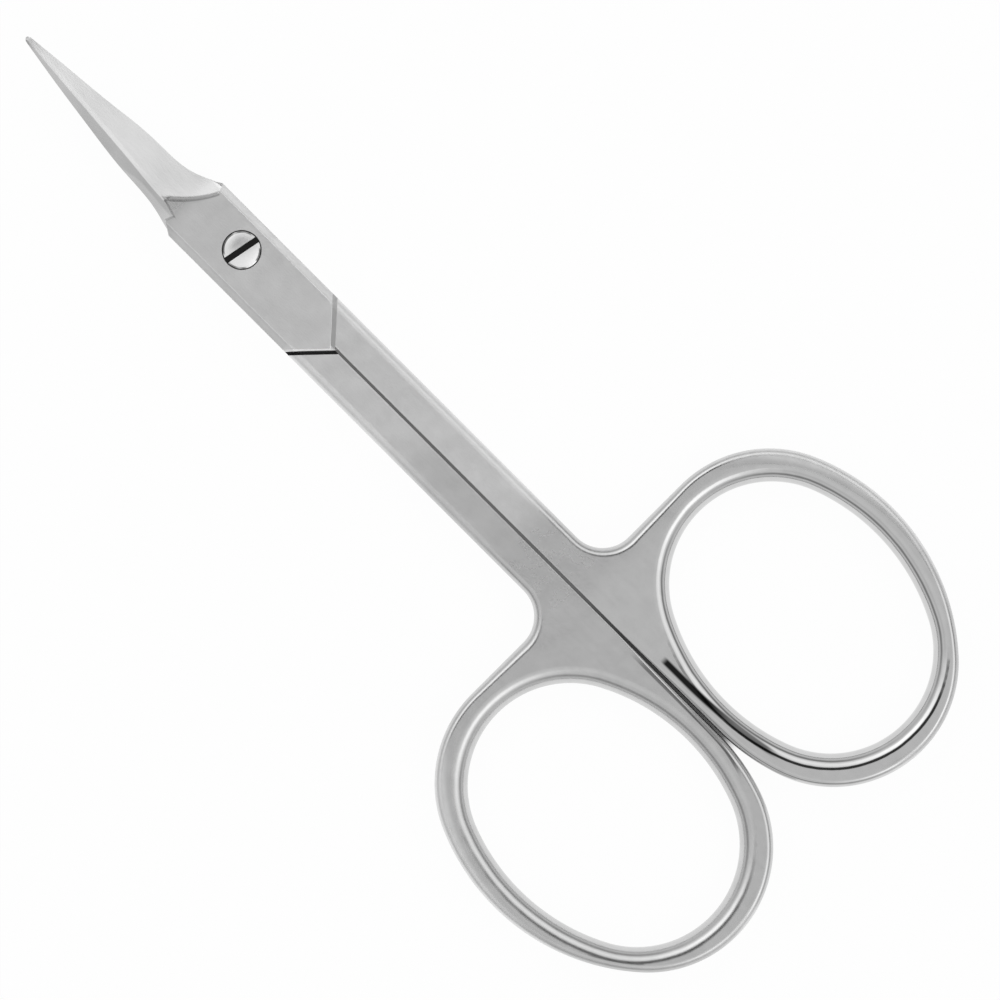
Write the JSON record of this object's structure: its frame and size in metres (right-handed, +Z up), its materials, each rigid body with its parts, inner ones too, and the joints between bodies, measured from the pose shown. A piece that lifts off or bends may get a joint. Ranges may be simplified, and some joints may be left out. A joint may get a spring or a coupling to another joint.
{
  "type": "cuticle scissors",
  "caption": "Small steel scissors with fine upward-curved blades, a lap joint on a slotted screw and two closed finger bows.",
  "frame": {"origin": "on the pivot screw's axis, in the plane of the rear half's plate, on which the closed scissors rest", "axes": "+X along the shanks to the blade tips, +Z up along the screw's axis to its slotted head, +Y towards the rear half's bow"},
  "size_m": [0.09, 0.0446, 0.0055],
  "materials": {
    "half_steel": "satin ground flats on plate, shank and blade, the bows polished by hand",
    "screw_steel": "polished head with a bare slot"
  },
  "bodies": {
    "rear": {"rear_half": "half_steel", "pivot_screw": "screw_steel"},
    "front": {"front_half": "half_steel"}
  },
  "joints": [
    {"name": "pivot", "type": "hinge", "parent": "rear", "child": "front", "pos_m": [0, 0, 0.00178], "axis": [0, 0, 1], "range_deg": [0, 140]}
  ]
}
